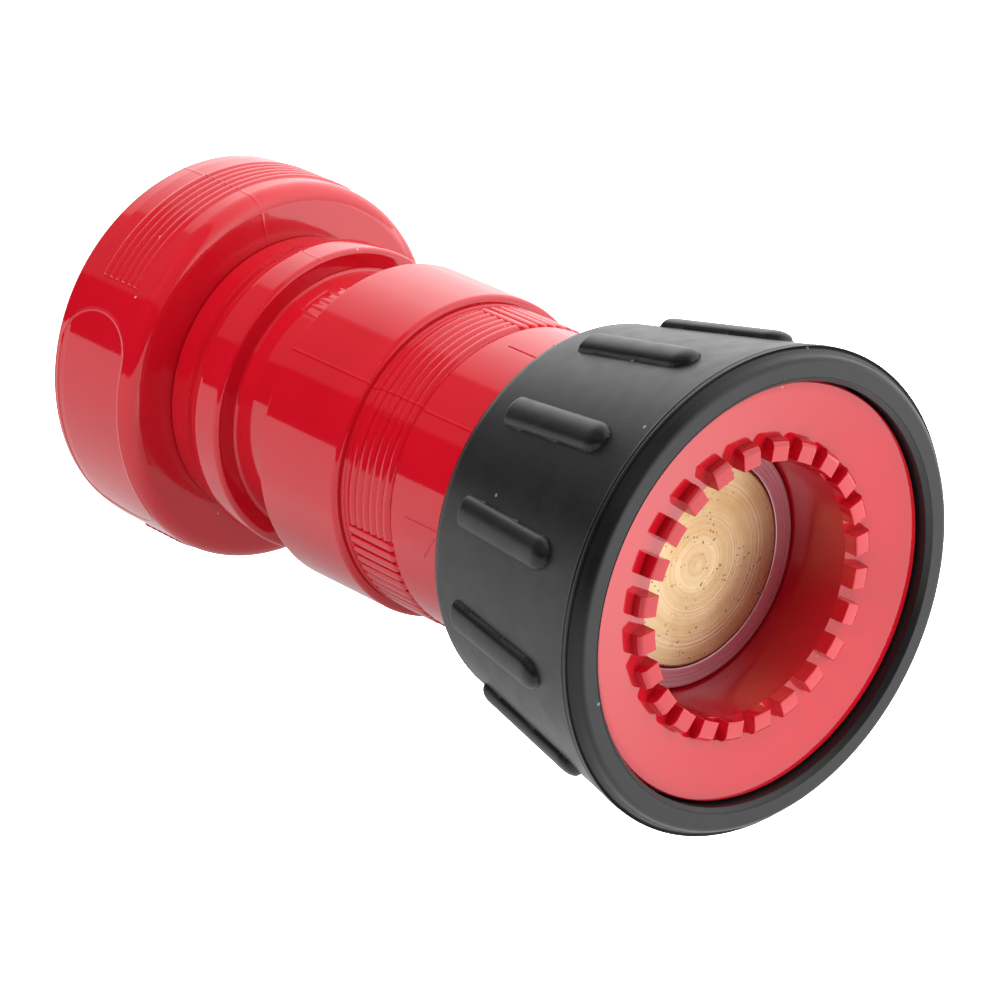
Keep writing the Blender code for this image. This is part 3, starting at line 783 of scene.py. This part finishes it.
def barrel():
    screw_r, land_r, rear_r = BARREL_BORE
    groove_rear, groove_front, groove_r = O_RING_GROOVE
    rim_z, rim_r = DISH[1]
    outline = [(BARREL_REAR, rear_r), (BARREL_REAR, BARREL_R - BARREL_EDGE)]
    outline += arc(BARREL_REAR + BARREL_EDGE, BARREL_R - BARREL_EDGE, BARREL_EDGE, 180, 90, 4)[1:]
    outline += arc(STEP - STEP_ROUND, BARREL_R - STEP_ROUND, STEP_ROUND, 90, 0, 8)
    outline += [(STEP, FRONT_R + 0.3), (STEP + 0.3, FRONT_R), (behind_flange(FRONT_R), FRONT_R)]
    outline += [(behind_flange(rim_r), rim_r)]
    outline += arc(rim_z - RIM_ROUND, rim_r - RIM_ROUND, RIM_ROUND, 90, 12, 6)
    outline += [DISH[0], (DISH[0][0] - 0.2, CUP_R[1] - 0.02)]
    outline += [(SEAT_FACE, CUP_R[0]), (SEAT_STEP, CUP_R[0]), (SEAT_STEP, FUNNEL[1][1])]
    outline += [FUNNEL[1], FUNNEL[0], (groove_front, land_r), (groove_front, groove_r)]
    outline += [(groove_rear, groove_r), (groove_rear, land_r), (BORE_STEP[1], land_r)]
    outline += [(BORE_STEP[0], screw_r), (BARREL_REAR + 0.5, screw_r)]

    def shape(z, r, theta):
        outer = (r > FRONT_R - 0.6) & (z < BUMPER_REAR + 3)
        return z, r + outer * (band(z, theta) + barrel_seams(z, theta) - engraving(z, theta))

    fine = [(STEP - 0.5, 98.0, FRONT_R - 0.1, BARREL_R)]
    fine += [(BARREL_REAR, STEP, BARREL_R - 0.1, BARREL_R + 0.1)]
    made = lathe("barrel_shell", outline, SIDES_FINE, shape, fine, 0.14)
    dress(made, "barrel", "red_polycarbonate", RED, "barrel")
    # The cup's faces get the red that is darkened as painted shade.
    made.data.materials.append(CUP_RED_PAINTED_SHADE)
    cup_y = HOSE_Y - CUP_REAR * MM
    for face in made.data.polygons:
        centre = face.center
        if centre.y < cup_y and math.hypot(centre.x, centre.z - AXIS_UP) < (CUP_R[1] + 0.05) * MM:
            face.material_index = 1
    dress(teeth(), "barrel", "red_polycarbonate", RED)


def band(z, theta):
    """Relief of the grip band: rings near the parting lines and lengthwise staves between them."""
    start, end = BAND
    ground, height = BAND_RELIEF
    side = beside(theta, BARREL_LINE)
    around = np.abs(side)
    count, first, pitch = BAND_RIDGES
    rings = sum(hump(z - first - k * pitch, pitch / 2) for k in range(count))
    ringed = 1 - ease(around, BAND_ARC - 0.35, BAND_ARC + 0.05)
    beyond = around - BAND_ARC - np.where(side > 0, *STAVE_GAPS)
    across = (beyond + STAVE_PITCH / 2) % STAVE_PITCH - STAVE_PITCH / 2
    tip = np.clip((z - end + STAVE_TIP[0]) / STAVE_TIP[1], 0, None)
    stave = np.sqrt(np.clip(1 - (across / (STAVE_PITCH / 2)) ** 2 - tip ** 2, 0, 1))
    stave *= (beyond > -STAVE_PITCH / 2) * ease(z, start, start + 0.6)
    inside = ease(z, start - 0.3, start) * (1 - ease(z, end - 0.25, end))
    return inside * (height * (ringed * rings + (1 - ringed) * stave) - ground)


def barrel_seams(z, theta):
    """The two parting lines. The first one runs a little to the side on the band."""
    height, half = BARREL_SEAM
    shift = SEAM_SHIFT * ((z > BAND[0]) & (z < BAND[1]))
    near = hair(away(theta, BARREL_LINE + shift), half)
    return height * (near + hair(away(theta, BARREL_LINE + 180), half))


def engraving(z, theta):
    """Depth of the engraved lines in front of the band: two straight ones and two slanted ones."""
    turn = away(theta, 0.0)
    straight, slanted = MARK_HALF
    marks = sum(stroke(z, turn, (MARK_Z[0], a), (MARK_Z[1], a), FRONT_R, straight) for a in MARK_ANGLES)
    marks += sum(stroke(z, turn, start, end, FRONT_R, slanted) for start, end in SLANTED)
    return MARK_DEPTH * np.clip(marks, 0, 1)


def teeth():
    """The fog teeth: parallel-sided blocks on the ring between the cup and the dish."""
    inner = CUP_R[1]
    side = [(dish(inner) - TOOTH_ROOT, inner), (TOOTH_TIP - 0.15, inner), (TOOTH_TIP, inner + 0.15)]
    side += arc(TOOTH_TIP - TOOTH_ROUND, TOOTH_R - TOOTH_ROUND, TOOTH_ROUND, 5, 85, 7)
    side += [(dish(TOOTH_R) - TOOTH_ROOT, TOOTH_R)]
    bm = bmesh.new()
    for k in range(TEETH):
        middle = math.radians(TOOTH_TURN + (k + 0.5) * 360.0 / TEETH)
        sheets = []
        for y in np.linspace(-TOOTH_HALF, TOOTH_HALF, 5):
            sheet = []
            for z, r in side:
                theta = math.degrees(middle + math.asin(y / r))
                sheet.append(bm.verts.new(world(np.array(z), np.array(r), np.array(theta))))
            sheets.append(sheet)
        for a, b in zip(sheets, sheets[1:]):
            for i in range(len(side)):
                bm.faces.new((a[i - 1], a[i], b[i], b[i - 1]))
        bm.faces.new(sheets[0][::-1])
        bm.faces.new(sheets[-1])
    bmesh.ops.recalc_face_normals(bm, faces=bm.faces)
    mesh = bpy.data.meshes.new("fog_teeth")
    bm.to_mesh(mesh)
    bm.free()
    mesh.shade_smooth()
    mesh.set_sharp_from_angle(angle=math.radians(35))
    obj = bpy.data.objects.new("fog_teeth", mesh)
    bpy.context.scene.collection.objects.link(obj)
    bevel = obj.modifiers.new("edges", "BEVEL")
    bevel.width = TOOTH_BEVEL * MM
    bevel.segments = 3
    bevel.limit_method = "ANGLE"
    bevel.angle_limit = math.radians(40)
    bevel.harden_normals = False
    return obj


def seat_ring():
    inner, outer = SEAT_R
    hole, step = SEAT_LIP
    outline = [(SEAT_REAR, inner), (SEAT_REAR, outer - 0.2), (SEAT_FACE - 0.3, outer)]
    outline += arc(SEAT_FACE - 0.3, outer - 0.3, 0.3, 90, 0, 4)
    outline += arc(SEAT_FACE - 0.2, hole + 0.2, 0.2, 0, -90, 4)
    outline += [(step, hole), (step, inner + 0.4), (step - 0.4, inner)]

    def shape(z, r, theta):
        face = (z > SEAT_FACE - 0.05) & (r > 17.3) & (r < 20.0)
        height, pitch = SEAT_WAVES
        return z + face * height * np.sin(r * 2 * math.pi / pitch), r

    made = lathe("seat", outline, SIDES_MEDIUM, shape, [(123, 124, 17, 21)], 0.15)
    dress(made, "barrel", "seat_plastic", SEAT, "seat_ring")


def rubber_bumper():
    (z0, r0), (z1, r1) = CONE
    taper = (r1 - r0) / (z1 - z0)
    ledge_r, hollow_r = FLANGE_SLOT
    ledge = behind_flange(ledge_r) - RUBBER_GAP
    back_r, rounding = BUMPER_BACK
    outline = [(BUMPER_REAR, BUMPER_BORE_R)]
    outline += arc(BUMPER_REAR + rounding, back_r, rounding, 180, 90 + math.degrees(math.atan(taper)), 12)
    outline += [(z1 - 0.1, r1 - 0.02), (z1 + 0.1, r1 + 0.02), (z1 + 0.3, r1 + 0.15)]
    forward, roll = LIP_REAR_ROLL
    outline += arc(z1 + forward, LIP_R - roll, roll, 125, 75, 6)
    back, inward, roll = LIP_FRONT_ROLL
    outline += arc(LENGTH - back, LIP_R - inward, roll, 62, 44, 5)
    edge, edge_r = LIP_EDGE
    outline += arc(LENGTH - edge, edge_r, edge, 55, 0, 6)
    outline += [(LENGTH - depth, radius) for depth, radius in LIP_GROOVE]
    outline += [(behind_flange(LIP_INNER_R) - RUBBER_GAP, LIP_INNER_R), (ledge, ledge_r)]
    outline += [(ledge - 2, ledge_r), (ledge - 4, hollow_r), HOLLOW_END, (HOLLOW_END[0], BUMPER_BORE_R)]

    def shape(z, r, theta):
        outer = (z > BUMPER_REAR + 1) & (z < z1) & (r > r0 - 1 + (z - z0) * taper)
        spacing = 360.0 / RIBS
        side = (theta - RIB_TURN + spacing / 2) % spacing - spacing / 2
        across = np.radians(side) * r / RIB_HALF
        start, end = RIB_ENDS
        tail, nose = RIB_TAPERS
        behind = np.clip((start + tail - z) / tail, 0, None)
        ahead = np.clip((z - end + nose) / nose, 0, None)
        rib = np.sqrt(np.clip(1 - across ** 2 - ahead ** 2 - behind ** 2, 0, 1)) ** RIB_POWER
        return z, r + outer * RIB_HEIGHT * rib

    fine = [(BUMPER_REAR, LENGTH + 1, 29.0, 40.0)]
    made = lathe("bumper", outline, SIDES_FINE, shape, fine, 0.22)
    dress(made, "barrel", "bumper_rubber", RUBBER, "rubber_bumper")


swivel_coupling()
hose_gasket()
snap_ring()
nozzle_body()
baffle_stem()
stem_fixings()
o_ring("plug_o_ring", "shutoff_o_ring", "body", PLUG_O_RING)
barrel()
seat_ring()
o_ring("barrel_seal", "barrel_o_ring", "barrel_seal", BARREL_O_RING)
rubber_bumper()


# ---------------------------------------------------------------- floor, light and camera

def join(tree, operation, a, b):
    """A Math node between two sockets or values."""
    made = tree.nodes.new("ShaderNodeMath")
    made.operation = operation
    for socket, value in zip(made.inputs, (a, b)):
        if isinstance(value, bpy.types.NodeSocket):
            tree.links.new(value, socket)
        else:
            socket.default_value = value
    return made.outputs[0]


def fade(tree, value, span, levels):
    """A smooth change from one level to another while value crosses span."""
    made = tree.nodes.new("ShaderNodeMapRange")
    made.interpolation_type = "SMOOTHSTEP"
    tree.links.new(value, made.inputs["Value"])
    for name, number in zip(("From Min", "From Max", "To Min", "To Max"), (*span, *levels)):
        made.inputs[name].default_value = number
    return made.outputs[0]


def floor_level(tree):
    """The light that the floor gives off: brighter ahead of the nozzle and to its right, and less under it
    as a painted shadow.
    """
    place = tree.nodes.new("ShaderNodeSeparateXYZ")
    tree.links.new(tree.nodes.new("ShaderNodeTexCoord").outputs["Object"], place.inputs[0])
    x, y = place.outputs["X"], place.outputs["Y"]
    ahead_light, base_light = FLOOR_LIGHT
    ahead = fade(tree, y, FLOOR_NEAR_Y, (ahead_light - base_light, 0.0))
    ahead = join(tree, "MULTIPLY", ahead, fade(tree, x, FLOOR_LEFT_X, (0.0, 1.0)))
    ahead = join(tree, "MULTIPLY", ahead, fade(tree, y, FLOOR_FAR_Y, (0.0, 1.0)))
    front = join(tree, "ADD", ahead, base_light)
    right_start, right_end, brighter = FLOOR_RIGHT
    right = fade(tree, x, (right_start, right_end), (1.0, brighter))
    spread = []
    for axis, centre, size in SHADE_ELLIPSE:
        offset = join(tree, "SUBTRACT", place.outputs[axis], centre)
        spread.append(join(tree, "POWER", join(tree, "DIVIDE", offset, size), 2.0))
    darkest, inner, outer = SHADE
    shade = fade(tree, join(tree, "ADD", *spread), (inner, outer), (darkest, 1.0))
    return join(tree, "MULTIPLY", join(tree, "MULTIPLY", front, right), shade)


def floor():
    """A pale sheet that slopes up from just under the lip to the coupling. Seen from below, it is clear."""
    tilt = math.atan2(LIP_R - COUPLING_R, LENGTH - FLOOR_UNDER_COUPLING)
    lip_y, gap = FLOOR_UNDER_LIP
    rows = []
    for y in (-FLOOR_REACH, FLOOR_REACH):
        height = (y - lip_y) * math.tan(tilt) - gap
        rows.append([(-FLOOR_REACH, y, height), (FLOOR_REACH, y, height)])
    made = grid_mesh("floor", np.array(rows), wrap_rows=False, wrap_columns=False)
    paper = bpy.data.materials.new("pale_floor")
    paper.use_nodes = True
    tree = paper.node_tree
    tree.nodes.clear()
    link = tree.links.new
    seen = tree.nodes.new("ShaderNodeLightPath").outputs["Is Camera Ray"]
    light = tree.nodes.new("ShaderNodeEmission")
    strength = join(tree, "ADD", floor_level(tree), join(tree, "MULTIPLY", seen, FLOOR_SEEN))
    link(strength, light.inputs["Strength"])
    clear = tree.nodes.new("ShaderNodeBsdfTransparent")
    mix = tree.nodes.new("ShaderNodeMixShader")
    link(tree.nodes.new("ShaderNodeNewGeometry").outputs["Backfacing"], mix.inputs["Fac"])
    link(light.outputs[0], mix.inputs[1])
    link(clear.outputs[0], mix.inputs[2])
    link(mix.outputs[0], tree.nodes.new("ShaderNodeOutputMaterial").inputs["Surface"])
    made.data.materials.append(paper)
    if made.data.polygons[0].normal.z < 0:
        made.data.flip_normals()


def sky():
    """A studio that looks white. In reflections it is bright on the nozzle's right and dark on its left."""
    studio = bpy.data.worlds.new("studio")
    bpy.context.scene.world = studio
    studio.use_nodes = True
    tree = studio.node_tree
    tree.nodes.clear()
    link = tree.links.new
    split = tree.nodes.new("ShaderNodeSeparateXYZ")
    link(tree.nodes.new("ShaderNodeTexCoord").outputs["Generated"], split.inputs[0])
    angle = join(tree, "ARCTAN2", split.outputs["X"], split.outputs["Z"])
    scaled = tree.nodes.new("ShaderNodeMapRange")
    scaled.inputs["From Min"].default_value = -math.pi
    scaled.inputs["From Max"].default_value = math.pi
    link(angle, scaled.inputs["Value"])
    ramp = tree.nodes.new("ShaderNodeValToRGB")
    link(scaled.outputs[0], ramp.inputs[0])
    top = max(level for _, level in SKY)
    elements = ramp.color_ramp.elements
    for k, (degrees, level) in enumerate(SKY):
        position = (degrees + 180) / 360
        point = elements[k] if k < 2 else elements.new(position)
        point.position = position
        point.color = (level / top,) * 3 + (1,)
    lit = tree.nodes.new("ShaderNodeBackground")
    link(ramp.outputs["Color"], lit.inputs["Color"])
    lit.inputs["Strength"].default_value = top
    white = tree.nodes.new("ShaderNodeBackground")
    white.inputs["Strength"].default_value = SKY_SEEN
    mix = tree.nodes.new("ShaderNodeMixShader")
    link(tree.nodes.new("ShaderNodeLightPath").outputs["Is Camera Ray"], mix.inputs[0])
    link(lit.outputs[0], mix.inputs[1])
    link(white.outputs[0], mix.inputs[2])
    link(mix.outputs[0], tree.nodes.new("ShaderNodeOutputWorld").inputs[0])


def fill():
    """A soft light that leaves no reflection of its own."""
    position, size, power = FILL
    lamp = bpy.data.lights.new("fill", "AREA")
    lamp.shape = "DISK"
    lamp.size = size
    lamp.energy = power
    made = bpy.data.objects.new("fill", lamp)
    made.location = position
    made.rotation_mode = "QUATERNION"
    made.rotation_quaternion = (-Vector(position)).to_track_quat("-Z", "Y")
    made.visible_glossy = False
    made.visible_camera = False
    bpy.context.scene.collection.objects.link(made)


def camera():
    azimuth, elevation = math.radians(CAMERA_AZIMUTH), math.radians(CAMERA_ELEVATION)
    back = Vector((math.sin(azimuth) * math.cos(elevation), -math.cos(azimuth) * math.cos(elevation),
                   math.sin(elevation)))
    made = bpy.data.objects.new("camera", bpy.data.cameras.new("camera"))
    made.data.lens = CAMERA_LENS
    made.data.sensor_width = CAMERA_SENSOR
    made.location = CAMERA_AIM + back * CAMERA_DISTANCE
    made.rotation_mode = "QUATERNION"
    made.rotation_quaternion = (-back).to_track_quat("-Z", "Y")
    bpy.context.scene.collection.objects.link(made)
    bpy.context.scene.camera = made


floor()
sky()
fill()
camera()
bpy.context.scene.view_settings.view_transform = "Standard"
